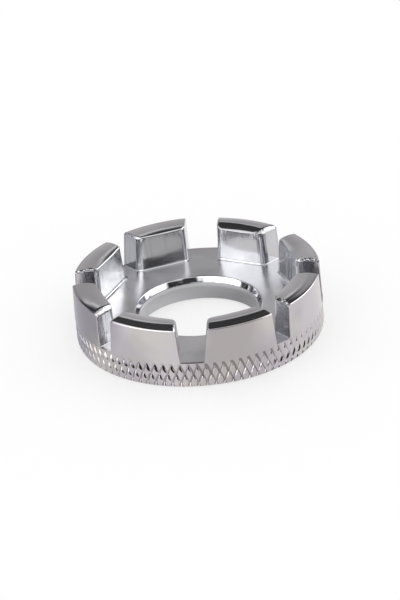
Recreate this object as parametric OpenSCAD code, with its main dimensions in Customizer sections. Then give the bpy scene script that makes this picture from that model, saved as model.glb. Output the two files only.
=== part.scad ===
// Round spoke wrench: one plated ring with eight nipple slots of different widths between
// eight crowned teeth, a centre hole with a rounded upper edge and a diamond-knurled grip band.
// Millimetres, +Z up. The origin is the centre of the base. Slot 1 opens toward -Y and the
// other slots follow counter-clockwise, seen from above.

/* [Body] */
// Diameter over the outer wall
body_d = 40; // [38:0.5:46]
// Height from the base to the crown of the teeth
total_h = 10.2; // [9.2:0.1:12]
// Height of the web, which is also the floor of every slot
web_h = 4.2; // [3.6:0.1:5]
// Diameter of the centre hole
bore_d = 19.4; // [17:0.2:22]
// Width of the rounded upper edge of the centre hole, seen from above
bore_round_w = 1.4; // [0.5:0.1:2]
// Height of the rounded upper edge of the centre hole
bore_round_h = 1; // [0.5:0.1:2]
// Fall of the web from the feet of the teeth to the centre hole
web_dish = 0.3; // [0.05:0.05:0.6]
// Chamfer on the lower edges of the outer wall and of the centre hole
base_chamfer = 0.2; // [0.05:0.05:0.4]
// How far the outer wall draws in toward its top
wall_taper = 0.13; // [0.02:0.01:0.4]

/* [Teeth] */
// Depth of a tooth at its foot, from the outer wall to its flat inner face
tooth_depth = 4.6; // [4:0.1:5.6]
// Lean of the inner faces and slot walls from upright, in degrees
tooth_draft = 4; // [0.5:0.5:6]
// Radius of the upright inner corners of a tooth
corner_round = 0.9; // [0.3:0.1:1.5]
// Radius of the fillet round the foot of a tooth
foot_fillet = 0.35; // [0.1:0.05:0.6]
// Radius of the rolled edge between a tooth's top and its inner face and slot walls
top_round = 0.9; // [0.3:0.1:1.2]
// Radius of the crown across a tooth's top
crown_r = 7; // [5:0.5:20]
// Radius of the edge between a tooth's top and the outer wall
rim_round = 0.35; // [0.1:0.05:0.6]

/* [Slots] */
// Width of slot 1 at its floor
slot_1_w = 3.9; // [2.4:0.05:5.2]
// Width of slot 2 at its floor
slot_2_w = 2.85; // [2.4:0.05:5.2]
// Width of slot 3 at its floor
slot_3_w = 3.8; // [2.4:0.05:5.2]
// Width of slot 4 at its floor
slot_4_w = 3.4; // [2.4:0.05:5.2]
// Width of slot 5 at its floor
slot_5_w = 4.9; // [2.4:0.05:5.2]
// Width of slot 6 at its floor
slot_6_w = 2.85; // [2.4:0.05:5.2]
// Width of slot 7 at its floor
slot_7_w = 3.8; // [2.4:0.05:5.2]
// Width of slot 8 at its floor
slot_8_w = 2.65; // [2.4:0.05:5.2]

/* [Knurl] */
// Number of diamonds around the grip band
knurl_count = 90; // [60:1:110]
// Height of one diamond
diamond_h = 2.95; // [2:0.05:4]
// Depth of the grooves between the diamonds
knurl_depth = 0.3; // [0.1:0.05:0.5]
// Height of the grip band, from the base
knurl_h = 4; // [2.5:0.1:4.5]
// Height of the topmost groove crossings
crossing_h = 3.7; // [2:0.1:4.4]

/* [Hidden] */
$fn = 96;
// How far cutting shapes run past what they cut
overrun = 1;
// How far the diamonds' peaks lie inside the outer wall
peak_inset = 0.03;
// Straight steps in a rounded edge, and in a tooth's crown
round_steps = 6;
crown_steps = 12;
// Quarter turn of a rounded edge, and the turn from an inner face to a slot wall
quarter_turn = 90;
slot_widths = [slot_1_w, slot_2_w, slot_3_w, slot_4_w, slot_5_w, slot_6_w, slot_7_w, slot_8_w];
slot_count = len(slot_widths);
slot_pitch = 360 / slot_count;
half_pitch = slot_pitch / 2;
first_slot = -90;
body_r = body_d / 2;
bore_r = bore_d / 2;
flat_r = body_r - tooth_depth;
// Radius at which the web starts to fall toward the centre hole
dish_r = flat_r - 2 * foot_fillet;
// Radius at which the crown is highest, halfway through a tooth
crown_mid_r = (body_r - wall_taper + flat_r) / 2;
crown_z = total_h - crown_r;
// Centre of the edge radius that joins the crown to the outer wall
rim_r = body_r - wall_taper - rim_round;
rim_z = crown_z + sqrt(pow(crown_r - rim_round, 2) - pow(rim_r - crown_mid_r, 2));
rim_turn = atan2(rim_z - crown_z, rim_r - crown_mid_r);
groove_r = body_r - peak_inset - knurl_depth;
peak_r = body_r - peak_inset;
// Rows of groove crossings, from below the base to above the grip band
row_h = diamond_h / 2;
rows_below = ceil((crossing_h + overrun) / row_h);
rows_above = ceil((knurl_h - crossing_h + overrun) / row_h);
row_count = rows_below + rows_above + 1;
row_z = crossing_h - rows_below * row_h;
// Topmost row, hidden inside the plain wall, where the wall starts to draw in
top_row_z = row_z + (row_count - 1) * row_h;

// Points on an arc in a plane, both ends included
function arc(center, r, from, to, steps) =
    [for (i = [0:steps]) center + r * [cos(from + (to - from) * i / steps), sin(from + (to - from) * i / steps)]];

// Half of a tooth's outline, on its counter-clockwise side, in a frame where the tooth points
// along +X. w is the slot's width there, and inset moves the wall and inner face into the tooth.
function half_outline(w, inset) =
    let (wall = w / 2 + inset,
         into = [sin(half_pitch), -cos(half_pitch)],
         along = [cos(half_pitch), sin(half_pitch)],
         x = flat_r + inset + corner_round,
         y = (x * sin(half_pitch) - wall - corner_round) / cos(half_pitch))
    concat([(body_r + 2 * overrun) * along + wall * into],
           arc([x, y], corner_round, quarter_turn + half_pitch, 2 * quarter_turn, round_steps));

// Whole outline of tooth i at one height
function tooth_outline(i, inset) =
    let (side = half_outline(slot_widths[(i + 1) % slot_count], inset),
         other = half_outline(slot_widths[i], inset))
    concat(side, [for (k = [len(other) - 1:-1:0]) [other[k].x, -other[k].y]]);

// Heights and insets of the sections of a tooth, from below the web to above the crown
tooth_sections = concat(
    [[web_h - overrun, -foot_fillet]],
    [for (i = [0:round_steps]) let (t = quarter_turn * i / round_steps)
        [web_h + foot_fillet * (1 - cos(t)), foot_fillet * (sin(t) - 1)]],
    [for (i = [0:round_steps]) let (t = quarter_turn * i / round_steps, z = total_h - top_round * (1 - sin(t)))
        [z, (z - web_h - foot_fillet) * tan(tooth_draft) + top_round * (1 - cos(t))]]);

// Solid through outlines with equal numbers of points, given from the bottom up
module loft(sections) {
    n = len(sections[0]);
    m = len(sections);
    polyhedron(
        points = [for (s = sections) each s],
        faces = concat(
            [[for (k = [0:n - 1]) k]],
            [for (j = [0:m - 2]) for (k = [0:n - 1])
                [j * n + k, (j + 1) * n + k, (j + 1) * n + (k + 1) % n, j * n + (k + 1) % n]],
            [[for (k = [n - 1:-1:0]) (m - 1) * n + k]]));
}

// Tooth i before its top and outer wall are trimmed by the blank
module tooth(i) {
    rotate([0, 0, first_slot + half_pitch + i * slot_pitch])
        loft([for (s = tooth_sections) [for (p = tooth_outline(i, s[1])) [p.x, p.y, s[0]]]]);
}

// Space between and inside the teeth, above the web
module tooth_gaps() {
    difference() {
        translate([0, 0, web_h])
            cylinder(h = total_h - web_h + overrun, r = body_r + overrun);
        for (i = [0:slot_count - 1]) tooth(i);
    }
}

// Plain upper part of the blank, whose top is the crown of all the teeth
module crowned_disc() {
    rotate_extrude()
        polygon(concat(
            [[0, knurl_h], [body_r, knurl_h], [body_r, top_row_z]],
            arc([rim_r, rim_z], rim_round, 0, rim_turn, round_steps),
            [for (p = arc([crown_mid_r, crown_z], crown_r, rim_turn, 2 * quarter_turn - rim_turn, crown_steps))
                if (p.x < rim_r + rim_round * cos(rim_turn)) p],
            [[0, total_h - crown_r * (1 - sin(rim_turn))]]));
}

// Knurled lower part of the blank: pyramids between two crossed sets of grooves
module knurled_disc() {
    n = 2 * knurl_count;
    points = [for (j = [0:row_count - 1]) for (i = [0:n - 1])
        let (a = 180 * i / knurl_count, r = (i + j) % 2 == 0 ? groove_r : peak_r)
        [r * cos(a), r * sin(a), row_z + j * row_h]];
    function at(i, j) = j * n + i % n;
    polyhedron(points = points, faces = concat(
        [[for (i = [0:n - 1]) i]],
        [for (j = [0:row_count - 2]) for (i = [0:n - 1]) each
            (i + j) % 2 == 0
                ? [[at(i, j), at(i + 1, j + 1), at(i + 1, j)], [at(i, j), at(i, j + 1), at(i + 1, j + 1)]]
                : [[at(i, j), at(i, j + 1), at(i + 1, j)], [at(i + 1, j), at(i, j + 1), at(i + 1, j + 1)]]],
        [[for (i = [n - 1:-1:0]) at(i, row_count - 1)]]));
}

// Centre hole with its rounded upper edge and chamfered lower edge
module center_hole() {
    rotate_extrude()
        polygon(concat(
            [[0, -overrun], [bore_r + base_chamfer + overrun, -overrun], [bore_r, base_chamfer]],
            [for (i = [0:round_steps]) let (t = quarter_turn * i / round_steps)
                [bore_r + bore_round_w * (1 - cos(t)), web_h - web_dish - bore_round_h * (1 - sin(t))]],
            [[dish_r, web_h], [dish_r, total_h + overrun], [0, total_h + overrun]]));
}

// What lies below the base and outside its chamfered edge
module base_trim() {
    rotate_extrude()
        polygon([[0, 0], [body_r - base_chamfer, 0], [body_r + overrun, base_chamfer + overrun],
                 [body_r + overrun, row_z - overrun], [0, row_z - overrun]]);
}

module wrench_body() {
    color([0.74, 0.74, 0.75])
        difference() {
            union() {
                crowned_disc();
                knurled_disc();
            }
            tooth_gaps();
            center_hole();
            base_trim();
        }
}

wrench_body();
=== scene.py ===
"""Looks of a round spoke wrench: the plated body with its slotted teeth and knurled grip, and the stage."""
import math

import bpy
from bpy.props import FloatProperty, FloatVectorProperty, IntProperty, PointerProperty
from mathutils import Matrix, Vector


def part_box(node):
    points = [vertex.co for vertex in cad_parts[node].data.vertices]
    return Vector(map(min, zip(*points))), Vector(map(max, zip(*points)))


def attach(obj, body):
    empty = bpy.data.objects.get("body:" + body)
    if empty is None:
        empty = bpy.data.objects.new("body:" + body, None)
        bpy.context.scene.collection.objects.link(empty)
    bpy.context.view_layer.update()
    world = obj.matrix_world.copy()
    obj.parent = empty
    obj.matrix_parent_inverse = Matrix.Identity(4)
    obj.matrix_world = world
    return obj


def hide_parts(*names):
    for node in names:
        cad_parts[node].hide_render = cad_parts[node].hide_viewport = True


bl_info = {
    "name": "Round Spoke Wrench",
    "version": (1, 0, 0),
    "blender": (4, 5, 0),
    "location": "3D View > Sidebar > Spoke Wrench",
    "description": "Builds the plated body of a round spoke wrench and the stage that shows it",
    "category": "Object",
}

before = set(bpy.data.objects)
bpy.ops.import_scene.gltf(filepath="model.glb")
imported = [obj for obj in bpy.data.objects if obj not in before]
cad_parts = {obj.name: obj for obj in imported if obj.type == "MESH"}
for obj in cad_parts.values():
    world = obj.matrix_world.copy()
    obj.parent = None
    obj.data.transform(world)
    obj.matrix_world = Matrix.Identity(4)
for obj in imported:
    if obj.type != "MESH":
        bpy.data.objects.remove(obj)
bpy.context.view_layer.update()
body_low, body_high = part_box("wrench_body")

MM = 0.001
TURN = 2 * math.pi
WHITE = (1, 1, 1)
SLOT_COUNT = 8
PITCH = TURN / SLOT_COUNT
HALF_PITCH = PITCH / 2
# The first slot opens toward -Y, and the others follow counter-clockwise
FIRST_SLOT = -TURN / 4
# Straight steps along the sides of a tooth's outline
ARC_STEPS = 20
OUTER_CORNER_STEPS = 4
WALL_STEPS = 8
INNER_CORNER_STEPS = 8
FACE_STEPS = ARC_STEPS + OUTER_CORNER_STEPS - INNER_CORNER_STEPS
# Steps of the foot fillet, the upright wall, the rolled edge, the hole, the web and the slot floors
FOOT_STEPS = 6
UPRIGHT_STEPS = 4
ROLL_STEPS = 9
HOLE_COLUMNS = 240
HOLE_ROUND_STEPS = 6
BEVEL_STEPS = 4
BORE_STEPS = 4
DISH_STEPS = 6
FLOOR_EDGE_STEPS = 8
# Places along a tooth's outline, which starts in the middle of its clockwise outer corner
HALF_CORNER = OUTER_CORNER_STEPS // 2
OUTER_SIDE = ARC_STEPS + OUTER_CORNER_STEPS
SLOT_SIDE = HALF_CORNER + WALL_STEPS + INNER_CORNER_STEPS // 2
RING = 2 * (OUTER_SIDE + SLOT_SIDE)
WALL_START = OUTER_SIDE + HALF_CORNER
FACE_START = WALL_START + WALL_STEPS + INNER_CORNER_STEPS
WALL_END = RING - HALF_CORNER
# Outer corners of a tooth at the floor and above its foot fillet, as shares of those at its top
FLOOR_CORNER = 0.1
FOOT_CORNER = 0.5
# Rounding of a slot floor's edge at its two ends, and the pads' outer corners, as shares of the floor edge
EDGE_END = 0.5
PAD_CORNER = 0.1
# Columns and rows of the knurl's mesh in one diamond
DIAMOND_STEPS = 16
# Lowest rows of the knurl's mesh, and how far its even rows stay off the base and the top, all in steps
FOOT_ROWS = (0, 0.1, 0.4)
BASE_GAP = 0.7
TOP_GAP = 0.2
# Rows of groove crossings over which the falling grooves shrink toward the base
SHRINK_ROWS = 2
# Share of painted shade at the bottom of the knurl's grooves; shallower parts get less
GROOVE_SHADE = 0.35
# Faces that meet at more than this angle keep a crisp edge between them
CRISP_ANGLE = math.radians(28)
# How strongly large faces keep the shading flat beside their rounded edges
FLAT_WEIGHT = 60
# Room between the nodes of a material, in the node editor
NODE_SPACING = 200


def length(name, description, mm):
    """A length property whose default is given in millimetres."""
    return FloatProperty(name=name, description=description, default=mm * MM, min=0, precision=5,
                         unit="LENGTH")


def angle(name, description, degrees):
    """An angle property whose default is given in degrees."""
    return FloatProperty(name=name, description=description, default=math.radians(degrees), subtype="ANGLE")


def per_tooth(name, description, mms):
    """One length for each tooth or slot, counter-clockwise from the front, with defaults in millimetres."""
    return FloatVectorProperty(name=name, description=description, default=[mm * MM for mm in mms], min=0,
                               size=SLOT_COUNT, precision=5, unit="LENGTH")


def per_tooth_angle(name, description, degrees):
    """One angle for each tooth, with defaults in degrees."""
    return FloatVectorProperty(name=name, description=description, size=SLOT_COUNT, unit="ROTATION",
                               default=[math.radians(d) for d in degrees])


def per_tooth_share(name, description, shares):
    """One share between 0 and 1 for each tooth."""
    return FloatVectorProperty(name=name, description=description, default=shares, min=0, max=1,
                               size=SLOT_COUNT)


def colour(name, description, *rgb):
    """A colour property."""
    return FloatVectorProperty(name=name, description=description, default=(*rgb, 1), min=0, max=1,
                               size=4, subtype="COLOR")


def share(name, description, default):
    """A property between 0 and 1."""
    return FloatProperty(name=name, description=description, default=default, min=0, max=1, subtype="FACTOR")


class WrenchSizes(bpy.types.PropertyGroup):
    """Sizes of the plated body."""

    diameter: length("Diameter", "Diameter over the outer wall", (body_high.x - body_low.x) / MM)
    height: length("Height", "Height from the base to the crown of the teeth",
                   (body_high.z - body_low.z) / MM)
    web_height: length("Web height", "Height of the web and of the slot floors", 4.2)
    hole_diameter: length("Hole diameter", "Diameter of the centre hole", 19.4)
    hole_round_width: length("Hole edge width", "Width of the bevelled upper edge of the hole", 0.54)
    hole_round_height: length("Hole edge height", "Height of the bevelled upper edge of the hole", 0.88)
    hole_edge_blend: length("Hole edge blend", "Length of the soft corners of the bevelled edge", 0.12)
    web_dish: length("Web dish", "Fall of the web from the feet of the teeth to the hole", 0.3)
    dish_power: FloatProperty(name="Dish power", default=1.1, min=1,
                              description="How the web falls: 1 is a cone, more is a bowl")
    base_chamfer: length("Base chamfer", "Chamfer on the lower edge of the hole", 0.2)
    base_round_width: length("Base round width", "Width of the rounded lower edge of the outer wall", 0.32)
    base_round_height: length("Base round height", "Height of the rounded lower edge of the outer wall", 0.8)
    wall_taper: length("Wall taper", "How far the outer wall draws in toward its top", 0.13)
    tooth_depth: length("Tooth depth", "Depth of a tooth at its foot", 4.6)
    face_drafts: per_tooth_angle("Face drafts", "Lean of each tooth's inner face from upright",
                                 (4, 4, 4, 2, 2, 4, 4, 4))
    near_drafts: per_tooth_angle("Clockwise drafts",
                                 "Lean of the slot wall at the clockwise end of each tooth",
                                 (6, 4, 4, 4, 2, 4, 4, 4))
    far_drafts: per_tooth_angle("Counter-clockwise drafts",
                                "Lean of the slot wall at the counter-clockwise end of each tooth",
                                (4, 4, 4, 2, 4, 4, 4, 4))
    near_corners: per_tooth("Clockwise inner corners",
                            "Radius of the inner corner at the clockwise end of each tooth",
                            (0.9, 0.9, 0.9, 1.5, 1.2, 0.9, 0.9, 0.9))
    far_corners: per_tooth("Counter-clockwise inner corners",
                           "Radius of the inner corner at the counter-clockwise end of each tooth",
                           (0.9, 0.9, 0.9, 1.1, 1.5, 0.9, 0.9, 0.9))
    outer_corner: length("Outer corner", "Radius of the upright outer corners of a tooth at its top", 0.16)
    foot_fillet: length("Foot fillet", "Radius of the fillet at the foot of the inner faces", 0.35)
    slot_fillet: length("Slot fillet", "Radius of the fillet at the foot of the slot walls", 0.08)
    inner_rolls: per_tooth("Inner rolled edges", "Radius of the rolled edge along each tooth's inner face",
                           (0.14, 0.14, 0.14, 0.06, 0.26, 0.14, 0.14, 0.14))
    near_rolls: per_tooth("Clockwise rolled edges",
                          "Radius of the rolled edge at the clockwise end of each tooth",
                          (0.5, 0.5, 0.45, 0.9, 0.25, 0.35, 0.3, 0.3))
    far_rolls: per_tooth("Counter-clockwise rolled edges",
                         "Radius of the rolled edge at the counter-clockwise end of each tooth",
                         (0.25, 0.35, 0.35, 0.4, 0.35, 0.5, 0.9, 0.5))
    near_burrs: per_tooth_share("Clockwise burrs", "Pitting of the edge at the clockwise end of each tooth",
                                (0.2, 1, 1, 0.2, 0.2, 0.2, 0.2, 0.2))
    far_burrs: per_tooth_share("Counter-clockwise burrs",
                               "Pitting of the edge at the counter-clockwise end of each tooth",
                               (0.2, 0.2, 0.2, 0.2, 0.2, 1, 0.2, 0.2))
    crown_radii: per_tooth("Crown radii", "Radius of the crown across each tooth",
                           (7, 7, 7, 5.5, 12, 7, 7, 7))
    crown_shifts: per_tooth("Crown shifts",
                            "How far the top of each crown lies outside the middle of the tooth",
                            (0, 0, 0, 0.35, 0, 0, 0, 0))
    rim_round: length("Rim edge", "Radius of the edge between the crown and the outer wall", 0.14)
    floor_edge: length("Floor edge", "Rounding of the outer edge of a slot floor", 0.02)
    pad_width: length("Pad width", "Width of the flat margin round the foot of a tooth", 0.2)
    slot_widths: per_tooth("Slot widths",
                           "Widths of the slots at their floors, counter-clockwise from the front",
                           (3.9, 2.85, 3.8, 3.4, 4.9, 2.85, 3.8, 2.65))
    knurl_count: IntProperty(name="Diamonds", description="Diamonds around the grip band", default=90, min=3)
    diamond_height: length("Diamond height", "Height of one diamond of the knurl", 2.95)
    falling_depth: length("Falling depth", "Depth of the grooves that fall to the right", 0.265)
    falling_share: share("Falling width", "Width of the falling grooves, as a share of their spacing", 0.5)
    falling_foot: share("Falling size at the foot",
                        "Share of the falling grooves' size that is left near the base", 0.6)
    rising_depth: length("Rising depth", "Depth of the grooves that rise to the right", 0.235)
    rising_share: share("Rising width", "Width of the rising grooves, as a share of their spacing", 0.44)
    rising_top: share("Rising size at the top",
                      "Share of the rising grooves' size that is left at the top row", 0.55)
    land_crown: length("Land crown",
                       "How far the lands between the grooves round off toward their crossings", 0.055)
    peak_inset: length("Peak inset", "How far the diamonds' peaks lie inside the outer wall", 0.03)
    crossing_height: length("Crossing height", "Height of the topmost groove crossings", 3.7)
    knurl_top: length("Knurl top", "Height at which the grooves have run out", 4.12)
    run_out: length("Run-out", "Height over which the grooves run out at the top", 0.35)


class PlatingLook(bpy.types.PropertyGroup):
    """Colours, gloss and relief of the plating."""

    bright: colour("Bright plating", "Colour of clean plating", 0.67, 0.67, 0.69)
    # Duller plating, also used for patches placed as painted shade
    dull_and_shade: colour("Dull plating", "Colour of thinner plating", 0.56, 0.56, 0.58)
    # Painted reflection: the pinkish tint of the surround that the outer wall and grip mirror, laid into
    # their colour
    mauve_reflection: colour("Mauve tint", "Tint of the handled outer wall and grip", 0.86, 0.81, 0.83)
    cream: colour("Cream tint", "Tint of the warm stains on the outer wall", 0.88, 0.84, 0.8)
    # Painted shade: the colour laid into the knurl's grooves and onto the hole's wall
    groove: colour("Groove", "Colour of the hole's wall and the grooves of the knurl", 0.3, 0.29, 0.3)
    pit: colour("Pit", "Colour of the pits along the worn edges", 0.05, 0.05, 0.055)
    polished: share("Polished roughness", "Roughness of the polished surfaces", 0.06)
    hazy: share("Hazy roughness", "Roughness of the hazy spots", 0.11)
    dragged: share("Drag-line roughness", "Roughness of the upright drag lines", 0.15)
    knurled: share("Knurl roughness", "Roughness of the grip band", 0.12)
    satin: share("Satin roughness", "Roughness of the web, slot floors and slot walls", 0.25)
    wave_relief: length("Wave relief", "Height of the slow waves in the plating", 0.03)
    drag_relief: length("Drag-line relief", "Height of the fine upright drag lines", 0.003)
    streak_relief: length("Streak relief", "Height of the broad upright streaks", 0.05)
    rub_relief: length("Rub relief", "Height of the rubbed blotches on the inner faces", 0.006)
    grain_relief: length("Grain relief", "Height of the fine grain", 0.0006)
    edge_relief: length("Edge relief", "Height of the pits along the worn edges", 0.12)


class StageLook(bpy.types.PropertyGroup):
    """Floor, light and camera."""

    floor_colour: colour("Floor", "Colour of the floor", *WHITE)
    shadow_fill: share("Shadow fill", "How far the floor's shadow is lightened", 0.5)
    sky_level: FloatProperty(name="Surround level", description="Strength of the plain white surround",
                             default=1.0, min=0)
    dome_radius: length("Dome radius", "Radius of the dome of boards that the metal mirrors", 900)
    dome_feather: angle("Dome feather", "Width of the soft edges of the boards", 4)
    camera_turn: angle("Camera turn", "Azimuth of the camera", -85)
    camera_rise: angle("Camera rise", "Elevation of the camera", 27.483)
    camera_roll: angle("Camera roll", "Roll of the camera", -4.994)
    camera_distance: length("Camera distance", "Distance from the camera to its aim", 526.3)
    camera_aim: FloatVectorProperty(name="Camera aim", description="Point in the middle of the picture",
                                    default=(0.000271, 0.000024, 0.004849), precision=6,
                                    subtype="TRANSLATION")
    lens: FloatProperty(name="Lens", description="Focal length for a frame 36 mm high",
                        default=196.4, unit="CAMERA")


# Shares of edge wear, upright drag lines, painted shade of the knurl's grooves and the hole's wall, and
# satin at a point of the skin
PLAIN = (0, 0, 0, 0)
DRAGGED = (0, 1, 0, 0)
SLOT_WALL = (0, 1, 0, 0.3)
SATIN = (0, 0, 0, 1)
# The hole's wall: satin, and darkened with painted shade
SHADED_BORE = (0, 0, 0.75, 1)


class Skin:
    """Points and faces of one skin, laid row by row."""

    def __init__(self):
        self.points = []
        self.faces = []
        self.finish = []

    def row(self, points, finish=PLAIN):
        """Adds points with one finish, or a list of them, and returns the points' numbers."""
        first = len(self.points)
        self.points.extend(points)
        self.finish.extend(finish if isinstance(finish, list) else [finish] * len(points))
        return list(range(first, len(self.points)))

    def bridge(self, lower, upper, closed=True):
        """Quads between two rows of equal length; where the rows share a point a triangle is left."""
        count = len(lower)
        for k in range(count if closed else count - 1):
            n = (k + 1) % count
            corners = list(dict.fromkeys((lower[k], lower[n], upper[n], upper[k])))
            if len(corners) > 2:
                self.faces.append(corners)

    def bridge_all(self, rows, closed=True):
        """Quads between each row and the next."""
        for lower, upper in zip(rows, rows[1:]):
            self.bridge(lower, upper, closed)

    def stitch(self, lower, upper):
        """Triangles between two closed rows around the axis that have different spacing."""
        a, a_turns = self.from_zero(lower)
        b, b_turns = self.from_zero(upper)
        i = j = 0
        while i < len(a) - 1 or j < len(b) - 1:
            if j == len(b) - 1 or (i < len(a) - 1 and a_turns[i + 1] <= b_turns[j + 1]):
                self.faces.append([a[i], a[i + 1], b[j]])
                i += 1
            else:
                self.faces.append([a[i], b[j + 1], b[j]])
                j += 1

    def from_zero(self, row):
        """A closed row from its smallest angle round to its first point again, and its angles."""
        turns = [math.atan2(self.points[k].y, self.points[k].x) % TURN for k in row]
        start = turns.index(min(turns))
        row = row[start:] + row[:start]
        turns = turns[start:] + turns[:start]
        return row + row[:1], turns + [turns[0] + TURN]

    def mesh(self, name, attribute, colours):
        """A mesh of the skin that keeps one colour for each point in the named attribute."""
        mesh = bpy.data.meshes.new(name)
        mesh.from_pydata([p[:] for p in self.points], [], self.faces)
        marks = mesh.attributes.new(attribute, "FLOAT_COLOR", "POINT")
        marks.data.foreach_set("color", [v for mark in colours for v in mark])
        return mesh


def between(a, b, t):
    """Value or point at share t of the way from a to b."""
    return a + (b - a) * t


def ease(t):
    """Smooth step from 0 to 1."""
    t = min(1, max(0, t))
    return t * t * (3 - 2 * t)


def spread(a, b, steps):
    """Points between a and b, both left out."""
    return [between(a, b, k / steps) for k in range(1, steps)]


def arc(center, radius, start, stop, steps):
    """Points on an arc in plan, both ends included."""
    turns = [between(start, stop, k / steps) for k in range(steps + 1)]
    return [center + radius * Vector((math.cos(t), math.sin(t))) for t in turns]


def around(r, turn, z):
    """Point at radius r and height z, at an angle round the axis."""
    return Vector((r * math.cos(turn), r * math.sin(turn), z))


def toward(turn, rise):
    """Unit vector at an azimuth and an elevation."""
    return Vector((math.cos(turn) * math.cos(rise), math.sin(turn) * math.cos(rise), math.sin(rise)))


def tooth_side(s, slot_width, inner_corner, wall_inset, face_inset, outer_r, outer_corner):
    """One side of a tooth's outline, from the outer wall along the slot wall to the inner face.

    It is in a frame where the tooth points along +X, and the slot lies on its counter-clockwise side.
    """
    along = Vector((math.cos(HALF_PITCH), math.sin(HALF_PITCH)))
    into = Vector((math.sin(HALF_PITCH), -math.cos(HALF_PITCH)))
    wall = slot_width / 2 + wall_inset
    wall_turn = TURN / 4 + HALF_PITCH
    reach = math.sqrt((outer_r - outer_corner) ** 2 - (wall + outer_corner) ** 2)
    outer = reach * along + (wall + outer_corner) * into
    x = s.diameter / 2 - s.tooth_depth + face_inset + inner_corner
    y = (x * math.sin(HALF_PITCH) - wall - inner_corner) / math.cos(HALF_PITCH)
    outside = arc(outer, outer_corner, math.atan2(outer.y, outer.x), wall_turn, OUTER_CORNER_STEPS)
    inside = arc(Vector((x, y)), inner_corner, wall_turn, TURN / 2, INNER_CORNER_STEPS)
    return outside + spread(outside[-1], inside[0], WALL_STEPS) + inside


def tooth_outline(s, i, insets, outer_r, outer_corner):
    """Outline of tooth i in plan, counter-clockwise from the middle of its clockwise outer corner.

    The insets are those of its clockwise wall, its inner face and its counter-clockwise wall.
    """
    near, face, far = insets
    next_slot = s.slot_widths[(i + 1) % SLOT_COUNT]
    left = tooth_side(s, next_slot, s.far_corners[i], far, face, outer_r, outer_corner)
    right = tooth_side(s, s.slot_widths[i], s.near_corners[i], near, face, outer_r, outer_corner)
    right = [Vector((p.x, -p.y)) for p in right]
    first = math.atan2(right[0].y, right[0].x)
    last = math.atan2(left[0].y, left[0].x)
    wall = arc(Vector((0, 0)), outer_r, first, last, ARC_STEPS)[1:-1]
    inner = spread(left[-1], right[-1], FACE_STEPS)
    outline = right[HALF_CORNER::-1] + wall + left + inner + right[:HALF_CORNER:-1]
    turn = Matrix.Rotation(FIRST_SLOT + HALF_PITCH + i * PITCH, 2)
    return [turn @ p for p in outline]


def around_tooth(k, outer, near, face, far):
    """Value at point k of a tooth's outline, blended at the corners between those of its four sides."""
    stops = ((-HALF_CORNER, near), (HALF_CORNER, outer), (OUTER_SIDE - HALF_CORNER, outer),
             (WALL_START, far), (WALL_START + WALL_STEPS, far),
             (FACE_START, face), (FACE_START + FACE_STEPS, face),
             (WALL_END - WALL_STEPS, near), (WALL_END, near), (RING + HALF_CORNER, outer))
    for (a, low), (b, high) in zip(stops, stops[1:]):
        if k <= b:
            return between(low, high, ease((k - a) / (b - a)))


def crown_height(s, i, r):
    """Height of the crown of tooth i at radius r."""
    middle = (s.diameter - s.wall_taper - s.tooth_depth) / 2 + s.crown_shifts[i]
    radius = s.crown_radii[i]
    return s.height - radius + math.sqrt(radius ** 2 - (r - middle) ** 2)


def floor_height(s, r):
    """Height of the web and the slot floors at radius r."""
    foot_r = s.diameter / 2 - s.tooth_depth
    edge_r = s.hole_diameter / 2 + s.hole_round_width
    return s.web_height - s.web_dish * max(0, (foot_r - r) / (foot_r - edge_r)) ** s.dish_power


def on_floor(s, p, rise=0):
    """A point of a plan, set on the floor or above it."""
    return Vector((p.x, p.y, floor_height(s, p.length) + rise))


def tooth_rows(s, i):
    """Closed rows of tooth i, from the floor to the end of its rolled edge, each with its finish."""
    outer_r = s.diameter / 2
    top_r = outer_r - s.wall_taper
    inside = [WALL_START <= k <= WALL_END for k in range(RING)]
    dragged = [DRAGGED if within else PLAIN for within in inside]
    for k in range(WALL_STEPS):
        dragged[WALL_START + k] = dragged[WALL_END - k] = SLOT_WALL
    fillets = s.slot_fillet, s.foot_fillet, s.slot_fillet
    spread_fillets = [around_tooth(k, s.slot_fillet, *fillets) for k in range(RING)]
    rows = []
    for k in range(FOOT_STEPS + 1):
        t = TURN / 4 * k / FOOT_STEPS
        corner = s.outer_corner * between(FLOOR_CORNER, FOOT_CORNER, k / FOOT_STEPS)
        plan = tooth_outline(s, i, [fillet * (math.sin(t) - 1) for fillet in fillets], outer_r, corner)
        points = [on_floor(s, p, fillet * (1 - math.cos(t))) for p, fillet in zip(plan, spread_fillets)]
        rows.append((points, dragged))
    leans = [math.tan(draft) for draft in (s.near_drafts[i], s.face_drafts[i], s.far_drafts[i])]
    rolls = s.near_rolls[i], s.inner_rolls[i], s.far_rolls[i]
    edges = [around_tooth(k, s.rim_round, *rolls) for k in range(RING)]
    burrs = [around_tooth(k, 0, s.near_burrs[i], 0, s.far_burrs[i]) for k in range(RING)]
    rise = s.height - s.web_height - s.foot_fillet
    roll_rows = []
    for k in range(ROLL_STEPS + 1):
        t = TURN / 4 * k / ROLL_STEPS
        across, fall = 1 - math.cos(t), 1 - math.sin(t)
        insets = [(rise - roll * fall) * lean + roll * across for roll, lean in zip(rolls, leans)]
        plan = tooth_outline(s, i, insets, top_r - s.rim_round * across, s.outer_corner)
        points = [Vector((p.x, p.y, crown_height(s, i, p.length) - edge * fall))
                  for p, edge in zip(plan, edges)]
        worn = math.sin(2 * t)
        finish = [(worn * burr, fall * within, 0, 0) for burr, within in zip(burrs, inside)]
        roll_rows.append((points, finish))
    foot, top = rows[-1][0], roll_rows[0][0]
    for k in range(1, UPRIGHT_STEPS):
        rows.append(([a.lerp(b, k / UPRIGHT_STEPS) for a, b in zip(foot, top)], dragged))
    return rows + roll_rows


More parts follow.
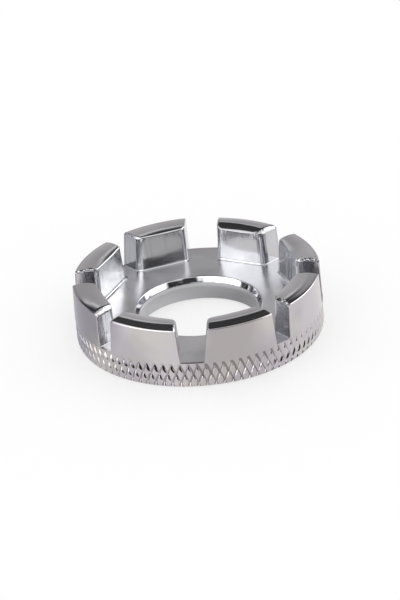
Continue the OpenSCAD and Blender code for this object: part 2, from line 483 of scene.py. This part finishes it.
def lay_crown(skin, s, i, ring):
    """Fills the last row of tooth i with a patch that follows the crown."""
    outer = ring[:OUTER_SIDE + 1]
    left = ring[OUTER_SIDE:OUTER_SIDE + SLOT_SIDE + 1]
    inner = ring[OUTER_SIDE + SLOT_SIDE:2 * OUTER_SIDE + SLOT_SIDE + 1][::-1]
    right = (ring[2 * OUTER_SIDE + SLOT_SIDE:] + ring[:1])[::-1]
    at = skin.points
    rows = [outer]
    for j in range(1, SLOT_SIDE):
        v = j / SLOT_SIDE
        row = [right[j]]
        for k in range(1, OUTER_SIDE):
            u = k / OUTER_SIDE
            p = (at[outer[k]] * (1 - v) + at[inner[k]] * v + at[right[j]] * (1 - u) + at[left[j]] * u
                 - (at[outer[0]] * (1 - u) + at[outer[-1]] * u) * (1 - v)
                 - (at[inner[0]] * (1 - u) + at[inner[-1]] * u) * v)
            p.z = crown_height(s, i, math.hypot(p.x, p.y))
            row += skin.row([p])
        rows.append(row + [left[j]])
    skin.bridge_all(rows + [inner], closed=False)


def lay_teeth(skin, s):
    """Lays the teeth; returns their lowest rows, and rows of pads on the floor a little off them."""
    outer_r = s.diameter / 2
    insets = [-fillet - s.pad_width for fillet in (s.slot_fillet, s.foot_fillet, s.slot_fillet)]
    feet, pads = [], []
    for i in range(SLOT_COUNT):
        rings = [skin.row(points, finish) for points, finish in tooth_rows(s, i)]
        skin.bridge_all(rings)
        lay_crown(skin, s, i, rings[-1])
        feet.append(rings[0])
        plan = tooth_outline(s, i, insets, outer_r - EDGE_END * s.floor_edge, PAD_CORNER * s.floor_edge)
        pad = skin.row([on_floor(s, p) for p in plan[WALL_START:WALL_END + 1]], SATIN)
        skin.bridge(pad, rings[0][WALL_START:WALL_END + 1], closed=False)
        pads.append(pad)
    return feet, pads


def lay_slot(skin, s, foot, next_foot, pad, next_pad):
    """Lays one slot's floor and its outer edge; returns the floor's inner row and the outer wall's row."""
    outer_r = s.diameter / 2
    first, last = (math.atan2(skin.points[k].y, skin.points[k].x) for k in (pad[0], next_pad[-1]))
    last += TURN * (last < first)
    turns = [between(first, last, k / FLOOR_EDGE_STEPS) for k in range(FLOOR_EDGE_STEPS + 1)]
    edge_rows = []
    for t in (0, TURN / 8, TURN / 4):
        row = []
        for k, turn in enumerate(turns):
            edge = s.floor_edge * (EDGE_END if k in (0, FLOOR_EDGE_STEPS) else 1)
            r = outer_r - edge * (1 - math.cos(t))
            row.append(around(r, turn, s.web_height - edge * (1 - math.sin(t))))
        edge_rows.append(row)
    ends = [foot[WALL_START]], [next_foot[WALL_END]]
    lower, middle = (ends[0] + skin.row(row) + ends[1] for row in edge_rows[:2])
    rows = [[pad[0]] + skin.row(edge_rows[2][1:-1], SATIN) + [next_pad[-1]]]
    skin.bridge(lower, middle, closed=False)
    skin.bridge(middle, ends[0] + rows[0] + ends[1], closed=False)
    for v in range(1, WALL_STEPS + 1):
        a, b = skin.points[pad[v]], skin.points[next_pad[-1 - v]]
        floor = [on_floor(s, p.to_2d()) for p in spread(a, b, FLOOR_EDGE_STEPS)]
        rows.append([pad[v]] + skin.row(floor, SATIN) + [next_pad[-1 - v]])
    skin.bridge_all(rows, closed=False)
    return rows[-1], lower


def lay_floor(skin, s, feet, pads):
    """Lays the slots' floors; returns the web's outer row and the outer wall's top row."""
    web_row, wall_row = [], []
    for i in range(SLOT_COUNT):
        n = (i + 1) % SLOT_COUNT
        inner, lower = lay_slot(skin, s, feet[i], feet[n], pads[i], pads[n])
        web_row += pads[i][-1 - WALL_STEPS:WALL_STEPS - 1:-1] + inner[1:-1]
        wall_row += feet[i][WALL_END:] + feet[i][:WALL_START + 1] + lower[1:-1]
    return web_row, wall_row


def groove_distances(s, turn, z):
    """Distances to the nearest groove of each crossed set, from 0 on it to 1 midway to the next."""
    across = turn * s.knurl_count / TURN
    up = (z - s.crossing_height) / s.diamond_height
    return [2 * abs((across + k * up + 0.5) % 1 - 0.5) for k in (1, -1)]


def groove_depth(s, turn, z):
    """Depth of the grooves at a point before they run out, and how far its land has rounded off."""
    falling, rising = groove_distances(s, turn, z)
    rows_down = (s.crossing_height - z) / (s.diamond_height / 2)
    falling_size = between(1, s.falling_foot, ease(rows_down / SHRINK_ROWS))
    rising_size = between(1, s.rising_top, ease(1 - rows_down))
    cut = max(0, s.falling_depth * (falling_size - falling / s.falling_share),
              s.rising_depth * (rising_size - rising / s.rising_share))
    return cut, s.land_crown * ((1 - falling) ** 2 + (1 - rising) ** 2)


def lay_knurl(skin, s):
    """Lays the grip band; returns its bottom and top rows."""
    outer_r = s.diameter / 2
    columns = s.knurl_count * DIAMOND_STEPS
    step = s.diamond_height / DIAMOND_STEPS
    heights = [k * step for k in FOOT_ROWS]
    z = s.crossing_height - step * math.floor(s.crossing_height / step - BASE_GAP)
    while z < s.knurl_top - TOP_GAP * step:
        heights.append(z)
        z += step
    heights.append(s.knurl_top)
    rows = []
    for z in heights:
        running = ease((s.knurl_top - z) / s.run_out)
        short = max(0, 1 - z / s.base_round_height)
        rounded = outer_r - s.base_round_width * (1 - math.sqrt(1 - short ** 2))
        row, sunk_shade = [], []
        for k in range(columns):
            turn = TURN * k / columns
            cut, fall = groove_depth(s, turn, z)
            depth = running * cut
            r = min(rounded, outer_r - running * (s.peak_inset + fall) - depth)
            row.append(around(r, turn, z))
            # Painted shade: deeper parts of the grooves get more of the darker colour, and more roughness
            sunk_shade.append((0, 0, GROOVE_SHADE * depth / s.falling_depth, 0))
        rows.append(skin.row(row, sunk_shade))
    for j in range(len(rows) - 1):
        a, b = rows[j], rows[j + 1]
        middle = (heights[j] + heights[j + 1]) / 2
        for k in range(columns):
            n = (k + 1) % columns
            falling, rising = groove_distances(s, TURN * (k + 0.5) / columns, middle)
            if rising < falling:
                skin.faces += [[a[k], a[n], b[n]], [a[k], b[n], b[k]]]
            else:
                skin.faces += [[a[k], a[n], b[k]], [a[n], b[n], b[k]]]
    return rows[0], rows[-1]


def soft_corner(before, corner, after, size, steps):
    """Points that round a corner of a profile, from size before it to size after it."""
    start = corner + size * (before - corner).normalized()
    stop = corner + size * (after - corner).normalized()
    shares = [k / steps for k in range(steps + 1)]
    return [start * (1 - t) ** 2 + corner * 2 * t * (1 - t) + stop * t ** 2 for t in shares]


def lay_hole(skin, s):
    """Lays the web's inner part and the centre hole; returns the web's row and the base's row."""
    hole_r = s.hole_diameter / 2
    edge_r = hole_r + s.hole_round_width
    web_r = (s.diameter / 2 - s.tooth_depth + edge_r) / 2
    web = Vector((web_r, floor_height(s, web_r)))
    edge = Vector((edge_r, floor_height(s, edge_r)))
    wall_top = Vector((hole_r, edge.y - s.hole_round_height))
    wall_foot = Vector((hole_r, s.base_chamfer))
    upper = soft_corner(web, edge, wall_top, s.hole_edge_blend, HOLE_ROUND_STEPS)
    lower = soft_corner(edge, wall_top, wall_foot, s.hole_edge_blend, HOLE_ROUND_STEPS)
    satin = [web] + spread(web, upper[0], DISH_STEPS) + upper[:1]
    bevel = upper[1:] + spread(upper[-1], lower[0], BEVEL_STEPS) + lower
    bore = spread(lower[-1], wall_foot, BORE_STEPS) + [wall_foot, Vector((hole_r + s.base_chamfer, 0))]
    turns = [TURN * k / HOLE_COLUMNS for k in range(HOLE_COLUMNS)]
    rows = []
    for profile, finish in ((satin, SATIN), (bevel, PLAIN), (bore, SHADED_BORE)):
        for p in profile:
            rows.append(skin.row([around(p.x, t, p.y) for t in turns], finish))
    skin.bridge_all(rows)
    return rows[0], rows[-1]


class Shading:
    """A material's node tree, with short calls for the nodes that the plating and the stage need."""

    def __init__(self, material):
        material.use_nodes = True
        self.tree = material.node_tree

    def add(self, kind, *values, **settings):
        """Adds a node with its settings and its first inputs, from values or other nodes' outputs."""
        node = self.tree.nodes.new(kind)
        node.location = (-NODE_SPACING * len(self.tree.nodes), 0)
        for name, value in settings.items():
            setattr(node, name, value)
        for socket, value in zip([k for k in node.inputs if k.enabled], values):
            self.set(socket, value)
        return node

    def set(self, socket, value):
        """Links a socket to an output, or sets its value."""
        if isinstance(value, bpy.types.NodeSocket):
            self.tree.links.new(value, socket)
        else:
            socket.default_value = value

    def surface(self, shader):
        """Makes a shader node the material's surface."""
        self.set(self.tree.nodes["Material Output"].inputs["Surface"], shader.outputs[0])

    def math(self, operation, *values):
        """Result of an operation on numbers."""
        return self.add("ShaderNodeMath", *values, operation=operation).outputs[0]

    def blend(self, part, a, b, blend_type="MIX"):
        """Colour between a and b, or a changed by b in another way."""
        node = self.add("ShaderNodeMix", part, a, b, data_type="RGBA", blend_type=blend_type)
        return next(k for k in node.outputs if k.enabled)

    def mix(self, part, a, b):
        """Number between a and b."""
        return self.add("ShaderNodeMix", part, a, b, data_type="FLOAT").outputs[0]

    def noise(self, place, scale, detail, roughness):
        """Soft noise around 0.5."""
        return self.add("ShaderNodeTexNoise", place, scale, detail, roughness).outputs[0]

    def shifted(self, place, metres):
        """Coordinates moved along each axis."""
        return self.add("ShaderNodeMapping", place, metres).outputs[0]

    def stretched(self, place, shares):
        """Coordinates scaled along each axis; a small share draws a pattern out."""
        node = self.add("ShaderNodeMapping", place)
        node.inputs["Scale"].default_value = shares
        return node.outputs[0]

    def ramp(self, value, low, high):
        """0 below low, 1 above high, and a smooth step between."""
        node = self.add("ShaderNodeMapRange", value, low, high, 0.0, 1.0, interpolation_type="SMOOTHSTEP")
        return node.outputs[0]


# Noise in the plating: cells in a metre, detail and roughness
LINE_NOISE = (3200, 3, 0.6)
STREAK_NOISE = (900, 2, 0.5)
DULL_SHADE_NOISE = (85, 2, 0.5)
STAIN_NOISE = (140, 3, 0.55)
HAZE_NOISE = (1400, 3, 0.6)
WAVE_NOISE = (240, 1, 0.4)
GRAIN_NOISE = (9000, 2, 0.6)
PIT_NOISE = (2100, 2, 0.5)
# How the drag lines and streaks are drawn out upright, and where the duller patches, placed as painted
# shade, and the stains fall
LINE_STRETCH = (1, 1, 0.03)
STREAK_STRETCH = (1, 1, 0.15)
DULL_SHADE_SHIFT = (-0.331, -0.367, 0.241)
STAIN_SHIFT = (-0.365, -0.106, -0.311)
# Values of the noise between which each effect sets in
DULL_RANGE = (0.42, 0.6)
CREAM_RANGE = (0.44, 0.58)
STREAK_RANGE = (0.42, 0.68)
RAISED_RANGE = (0.42, 0.56)
HAZY_RANGE = (0.35, 0.75)
LINE_RANGE = (0.3, 0.7)
# Marks between which the painted shade of the knurl's grooves and the hole's wall, and the knurl's
# roughness, set in
GROOVE_SHADE_RANGE = (0.25, 1.0)
KNURL_RANGE = (0.0, 0.5)
# Shares of the outer radius between which the outer wall's painted pinkish reflection sets in
WALL_RANGE = (0.96, 0.98)
# Strength of the duller streaks and of the painted shade in the grooves and on the hole's wall
STREAK_STRENGTH = 0.5
GROOVE_SHADE_STRENGTH = 0.6


def plating(look, outer_r):
    """Material of the plated body: tone, haze, upright drag lines, worn edges, painted shade and reflection.
    """
    material = bpy.data.materials.new("bright_plating")
    sh = Shading(material)
    place = sh.add("ShaderNodeTexCoord").outputs["Object"]
    finish = sh.add("ShaderNodeAttribute", attribute_name="finish").outputs
    # The third share marks the painted shade of the knurl's grooves and the hole's wall
    wear, drag, groove = sh.add("ShaderNodeSeparateColor", finish["Color"]).outputs
    satin = finish["Alpha"]
    lines = sh.noise(sh.stretched(place, LINE_STRETCH), *LINE_NOISE)
    streaks = sh.noise(sh.stretched(place, STREAK_STRETCH), *STREAK_NOISE)
    dull_shade_patches = sh.noise(sh.shifted(place, DULL_SHADE_SHIFT), *DULL_SHADE_NOISE)
    stains = sh.noise(sh.shifted(place, STAIN_SHIFT), *STAIN_NOISE)
    haze = sh.noise(place, *HAZE_NOISE)
    waves = sh.noise(place, *WAVE_NOISE)
    grain = sh.noise(place, *GRAIN_NOISE)
    pits = sh.noise(place, *PIT_NOISE)

    flat = sh.add("ShaderNodeVectorMath", place, (1, 1, 0), operation="MULTIPLY").outputs[0]
    radius = sh.add("ShaderNodeVectorMath", flat, operation="LENGTH").outputs["Value"]
    outside = sh.ramp(radius, *(k * outer_r for k in WALL_RANGE))
    # Duller plating in patches, shifted so that they fall as painted shade on walls that mirror darker floor
    tone = sh.blend(sh.ramp(dull_shade_patches, *DULL_RANGE), look.bright, look.dull_and_shade)
    # Painted reflection on the outer wall and grip: the pinkish tint, broken by cream stains of their own
    tint = sh.blend(sh.ramp(stains, *CREAM_RANGE), look.mauve_reflection, look.cream)
    tone = sh.blend(outside, tone, tint, "MULTIPLY")
    streak = sh.math("MULTIPLY", drag, sh.ramp(streaks, *STREAK_RANGE))
    tone = sh.blend(sh.math("MULTIPLY", streak, STREAK_STRENGTH), tone, look.dull_and_shade)
    # Painted shade in the knurl's grooves and on the hole's wall
    sunk_shade = sh.math("MULTIPLY", sh.ramp(groove, *GROOVE_SHADE_RANGE), GROOVE_SHADE_STRENGTH)
    tone = sh.blend(sunk_shade, tone, look.groove)
    raised = sh.ramp(pits, *RAISED_RANGE)
    pitted = sh.math("MULTIPLY", wear, sh.math("SUBTRACT", 1.0, raised))
    tone = sh.blend(pitted, tone, look.pit)

    rough = sh.mix(sh.ramp(haze, *HAZY_RANGE), look.polished, look.hazy)
    rough = sh.mix(drag, rough, sh.mix(sh.ramp(lines, *LINE_RANGE), look.hazy, look.dragged))
    rough = sh.mix(sh.ramp(groove, *KNURL_RANGE), rough, look.knurled)
    rough = sh.mix(satin, rough, look.satin)

    relief = sh.math("MULTIPLY", waves, look.wave_relief)
    for height, depth in ((sh.math("MULTIPLY", lines, drag), look.drag_relief),
                          (sh.math("MULTIPLY", streaks, drag), look.streak_relief),
                          (sh.math("MULTIPLY", haze, drag), look.rub_relief),
                          (grain, look.grain_relief),
                          (sh.math("MULTIPLY", raised, wear), look.edge_relief)):
        relief = sh.math("MULTIPLY_ADD", height, depth, relief)
    # The relief is in metres, so the bump has a strength and a distance of 1
    bump = sh.add("ShaderNodeBump", 1.0, 1.0)
    sh.set(bump.inputs["Height"], relief)

    shader = sh.tree.nodes["Principled BSDF"]
    shader.inputs["Metallic"].default_value = 1
    sh.set(shader.inputs["Base Color"], tone)
    sh.set(shader.inputs["Roughness"], rough)
    sh.set(shader.inputs["Normal"], bump.outputs[0])
    return material


class WRENCH_OT_body(bpy.types.Operator):
    """Build the plated body in place of its plain solid"""

    bl_idname = "spoke_wrench.body"
    bl_label = "Plated body"

    def execute(self, context):
        """Lays the skin, plates it and sets it in the frame."""
        s = context.scene.wrench_sizes
        skin = Skin()
        base_row, knurl_row = lay_knurl(skin, s)
        web_row, wall_row = lay_floor(skin, s, *lay_teeth(skin, s))
        dish_row, hole_row = lay_hole(skin, s)
        skin.stitch(knurl_row, wall_row)
        skin.stitch(web_row, dish_row)
        skin.stitch(hole_row, base_row)
        mesh = skin.mesh("plated_body", "finish", skin.finish)
        if mesh.validate():
            raise RuntimeError("the body's skin has faulty faces")
        mesh.shade_smooth()
        mesh.set_sharp_from_angle(angle=CRISP_ANGLE)
        body = bpy.data.objects.new("plated_body", mesh)
        context.collection.objects.link(body)
        mesh.materials.append(plating(context.scene.wrench_plating, s.diameter / 2))
        normals = body.modifiers.new("Flat faces stay flat", "WEIGHTED_NORMAL")
        normals.weight = FLAT_WEIGHT
        normals.keep_sharp = True
        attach(body, "root")
        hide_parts("wrench_body")
        return {"FINISHED"}


# Half the width of the floor, in metres
FLOOR_REACH = 3
# Steps of the dome, its lowest and highest row and the steps of the floor patches, in degrees
DOME_STEP = 2
DOME_FOOT = -6
DOME_TOP = 90
PATCH_STEP = 3
# Height of the floor patches above the floor, and the nearest that the camera sees, in metres
PATCH_LIFT = 1e-5
NEAREST = 0.01
# Height of the camera's frame, in millimetres
FRAME_HEIGHT = 36
# Boards, softboxes and dark flags that the metal mirrors: name, turn and rise in degrees as seen from the
# object, where turn 0 is straight away from the camera and positive to its right, the level of light at
# the lower and upper edge, where 1 is white, and the tint. A later one covers an earlier one.
STUDIO = (
    ("front_left_light", (-178, -92), (-3, 58), (2.5, 2.5), WHITE),
    ("front_left_low_board", (-154, -98), (-6, 8), (1.7, 1.7), WHITE),
    ("front_low_board", (-176, -152), (-6, 9), (0.6, 0.6), (1, 0.98, 1)),
    ("upper_left_light", (-115, -26), (52, 76), (1.3, 1.3), WHITE),
    ("left_board", (-56, -26), (-4, 50), (0.5, 0.5), (0.92, 0.96, 1.08)),
    ("left_mid_board", (-92, -54), (28, 52), (0.8, 0.8), (1, 1, 1.02)),
    ("left_blue_flag", (-92, -54), (-4, 29), (0.1, 0.08), (0.9, 0.95, 1.15)),
    ("left_near_light", (-56, -47), (22, 32), (2.4, 2.4), WHITE),
    ("right_board", (20, 58), (-4, 56), (0.7, 0.5), (1, 0.98, 0.99)),
    ("right_low_board", (50, 130), (-4, 11), (0.75, 0.75), (1, 0.98, 0.99)),
    ("right_light", (56, 118), (11, 56), (2.1, 2.1), WHITE),
    ("right_near_light", (41, 71), (12, 57), (3.1, 3.1), WHITE),
    ("right_upper_board", (24, 96), (59, 72), (0.65, 0.65), WHITE),
    ("front_right_board", (120, 180), (36.5, 56), (1.0, 1.0), WHITE),
    ("front_right_flag", (122, 194), (-3, 36.5), (0.03, 0.03), (1, 1, 1.05)),
    ("front_mid_board", (168, 194), (10, 30), (1.0, 1.0), (0.95, 0.98, 1.08)),
    ("camera_flag", (152, 181), (32, 47), (0.05, 0.05), (1, 1, 1.05)),
    ("back_board", (-26, 22), (-4, 33), (0.7, 0.43), (1.01, 0.985, 0.985)),
    ("right_mid_board", (10, 34), (26, 44), (0.42, 0.3), (1.01, 0.985, 0.985)),
    ("left_low_flag", (-42, -20), (31, 44), (0.06, 0.06), WHITE),
    ("back_left_flag", (-26, 0), (35.5, 86), (0.05, 0.07), (1, 1, 1.02)),
    ("back_right_flag", (-2, 15), (35.5, 86), (0.05, 0.07), (1, 1, 1.02)),
    ("right_high_flag", (13, 30), (40, 86), (0.05, 0.07), (1, 1, 1.02)),
    ("right_low_flag", (23, 34), (36, 46), (0.06, 0.06), WHITE),
)
# Shares of the object's diameter between which the patches beside it and in its hole lie
BESIDE = (0.505, 1.6)
IN_HOLE = (0.001, 0.24)
# Shaded and lit patches of the floor, which only the metal sees: name, turns of the two ends in degrees,
# where the patch lies, the level at each end and the tint
FLOOR_PATCHES = (
    ("shaded_floor_front_fade", (-126, -105), BESIDE, (1, 0.57), (0.99, 0.98, 1.02)),
    ("shaded_floor_left", (-105, -57), BESIDE, (0.57, 0.57), (0.98, 0.985, 1.04)),
    ("shaded_floor_back_fade", (-57, -15), BESIDE, (0.57, 1), (0.98, 0.985, 1.04)),
    ("floor_front_right_fade", (126, 150), BESIDE, (1, 0.84), (1, 0.99, 0.99)),
    ("floor_front_right", (150, 177), BESIDE, (0.84, 0.84), (1, 0.99, 0.99)),
    ("floor_front_fade", (177, 198), BESIDE, (0.84, 1), (1, 0.99, 0.99)),
    ("hole_floor_front_left", (-180, -90), IN_HOLE, (0.5, 0.95), WHITE),
    ("hole_floor_left", (-90, -36), IN_HOLE, (0.95, 0.95), WHITE),
    ("hole_floor_back", (-36, 21), IN_HOLE, (0.95, 0.5), WHITE),
    ("hole_floor_right", (21, 180), IN_HOLE, (0.5, 0.5), (1, 0.99, 1)),
)


def board_share(value, edges, feather):
    """1 between two edges and 0 beyond them, with soft steps."""
    return ease((value - edges[0]) / feather + 0.5) * ease((edges[1] - value) / feather + 0.5)


def studio_light(turn, rise, feather):
    """Colour of the dome in one direction, in degrees."""
    light = Vector(WHITE)
    for _, turns, rises, levels, tint in STUDIO:
        near = (turn - turns[0] + feather) % 360 + turns[0] - feather
        t = (rise - rises[0]) / (rises[1] - rises[0])
        level = between(*levels, min(1, max(0, t)))
        covered = board_share(near, turns, feather) * board_share(rise, rises, feather)
        light = light.lerp(level * Vector(tint), covered)
    return light


def heading(look, turn):
    """Azimuth of a direction, given in degrees to the right of straight away from the camera."""
    return look.camera_turn + TURN / 2 - math.radians(turn)


class WRENCH_OT_stage(bpy.types.Operator):
    """Set up the floor, the light and the camera"""

    bl_idname = "spoke_wrench.stage"
    bl_label = "Stage"

    def execute(self, context):
        """Adds everything round the object."""
        look = context.scene.wrench_stage
        self.add_floor(context, look)
        self.add_surround(context, look)
        self.add_dome(context, look)
        self.add_floor_patches(context, look)
        self.add_camera(context, look)
        context.scene.view_settings.view_transform = "Standard"
        return {"FINISHED"}

    def add_floor(self, context, look):
        """A white floor whose shadow is lightened where the camera and the metal see it."""
        mesh = bpy.data.meshes.new("floor")
        r = FLOOR_REACH
        mesh.from_pydata([(-r, -r, 0), (r, -r, 0), (r, r, 0), (-r, r, 0)], [], [(0, 1, 2, 3)])
        floor = bpy.data.objects.new("floor", mesh)
        context.collection.objects.link(floor)
        material = bpy.data.materials.new("floor_paper")
        material.cycles.emission_sampling = "NONE"
        sh = Shading(material)
        paper = sh.tree.nodes["Principled BSDF"]
        paper.inputs["Base Color"].default_value = look.floor_colour
        paper.inputs["Roughness"].default_value = 1
        paper.inputs["Specular IOR Level"].default_value = 0
        rays = sh.add("ShaderNodeLightPath").outputs
        mirrored = sh.math("MAXIMUM", rays["Is Glossy Ray"], rays["Is Transmission Ray"])
        seen = sh.math("MAXIMUM", rays["Is Camera Ray"], mirrored)
        white = sh.add("ShaderNodeEmission", look.floor_colour, 1.0)
        fill = sh.math("MULTIPLY", seen, look.shadow_fill)
        sh.surface(sh.add("ShaderNodeMixShader", fill, paper.outputs[0], white.outputs[0]))
        mesh.materials.append(material)

    def add_surround(self, context, look):
        """A plain white surround."""
        world = bpy.data.worlds.new("white_surround")
        context.scene.world = world
        world.use_nodes = True
        surround = world.node_tree.nodes["Background"]
        surround.inputs["Color"].default_value = (*WHITE, 1)
        surround.inputs["Strength"].default_value = look.sky_level

    def add_glow(self, context, name, skin, lights):
        """A glowing sheet that only the metal sees, with one colour of light at each of its points."""
        mesh = skin.mesh(name, "light", [(*light, 1) for light in lights])
        material = bpy.data.materials.new(name)
        material.cycles.emission_sampling = "NONE"
        sh = Shading(material)
        light = sh.add("ShaderNodeAttribute", attribute_name="light").outputs["Color"]
        sh.surface(sh.add("ShaderNodeEmission", light, 1.0))
        mesh.materials.append(material)
        sheet = bpy.data.objects.new(name, mesh)
        sheet.visible_camera = sheet.visible_diffuse = sheet.visible_shadow = False
        context.collection.objects.link(sheet)

    def add_dome(self, context, look):
        """A dome of boards round the object."""
        skin = Skin()
        lights, rows = [], []
        feather = math.degrees(look.dome_feather)
        turns = range(0, 360, DOME_STEP)
        for rise in range(DOME_FOOT, DOME_TOP + 1, DOME_STEP):
            tilt = math.radians(rise)
            rows.append(skin.row([look.dome_radius * toward(heading(look, turn), tilt) for turn in turns]))
            lights += [studio_light(turn, rise, feather) for turn in turns]
        skin.bridge_all(rows)
        self.add_glow(context, "studio_dome", skin, lights)

    def add_floor_patches(self, context, look):
        """Shaded and lit patches on the floor."""
        diameter = context.scene.wrench_sizes.diameter
        for name, (first, last), reaches, levels, tint in FLOOR_PATCHES:
            skin = Skin()
            lights, rows = [], []
            turns = range(first, last + 1, PATCH_STEP)
            shares = [(turn - first) / (last - first) for turn in turns]
            for reach in reaches:
                r = diameter * reach
                rows.append(skin.row([around(r, heading(look, turn), PATCH_LIFT) for turn in turns]))
                lights += [between(*levels, t) * Vector(tint) for t in shares]
            skin.bridge_all(rows, closed=False)
            self.add_glow(context, name, skin, lights)

    def add_camera(self, context, look):
        """A camera at the photograph's angle."""
        data = bpy.data.cameras.new("photo_view")
        data.sensor_fit = "VERTICAL"
        data.sensor_height = FRAME_HEIGHT
        data.lens = look.lens
        data.clip_start = NEAREST
        camera = bpy.data.objects.new("photo_view", data)
        context.collection.objects.link(camera)
        back = toward(look.camera_turn, look.camera_rise)
        right = Vector((0, 0, 1)).cross(back).normalized()
        up = back.cross(right)
        roll = look.camera_roll
        tilted_right = math.cos(roll) * right + math.sin(roll) * up
        tilted_up = math.cos(roll) * up - math.sin(roll) * right
        place = Matrix((tilted_right, tilted_up, back)).transposed().to_4x4()
        place.translation = Vector(look.camera_aim) + look.camera_distance * back
        camera.matrix_world = place
        context.scene.camera = camera


class WRENCH_PT_panel(bpy.types.Panel):
    """Sizes, looks and pieces of the spoke wrench"""

    bl_idname = "WRENCH_PT_panel"
    bl_label = "Spoke Wrench"
    bl_space_type = "VIEW_3D"
    bl_region_type = "UI"
    bl_category = "Spoke Wrench"

    def draw(self, context):
        """Lists the sizes and looks, with the button of each piece and of the stage."""
        layout = self.layout
        for owner, operator in (("wrench_sizes", None), ("wrench_plating", "spoke_wrench.body"),
                                ("wrench_stage", "spoke_wrench.stage")):
            group = getattr(context.scene, owner)
            column = layout.column(align=True)
            for name in group.__annotations__:
                column.prop(group, name)
            if operator:
                layout.operator(operator)


CLASSES = (WrenchSizes, PlatingLook, StageLook, WRENCH_OT_body, WRENCH_OT_stage, WRENCH_PT_panel)
GROUPS = {"wrench_sizes": WrenchSizes, "wrench_plating": PlatingLook, "wrench_stage": StageLook}


def register():
    """Adds the classes, and their settings to the scene."""
    for cls in CLASSES:
        bpy.utils.register_class(cls)
    for name, group in GROUPS.items():
        setattr(bpy.types.Scene, name, PointerProperty(type=group))


def unregister():
    """Takes the settings and the classes away again."""
    for name in GROUPS:
        delattr(bpy.types.Scene, name)
    for cls in reversed(CLASSES):
        bpy.utils.unregister_class(cls)


def main():
    """Builds the object and the stage."""
    register()
    bpy.ops.spoke_wrench.body()
    bpy.ops.spoke_wrench.stage()


if __name__ == "__main__":
    main()
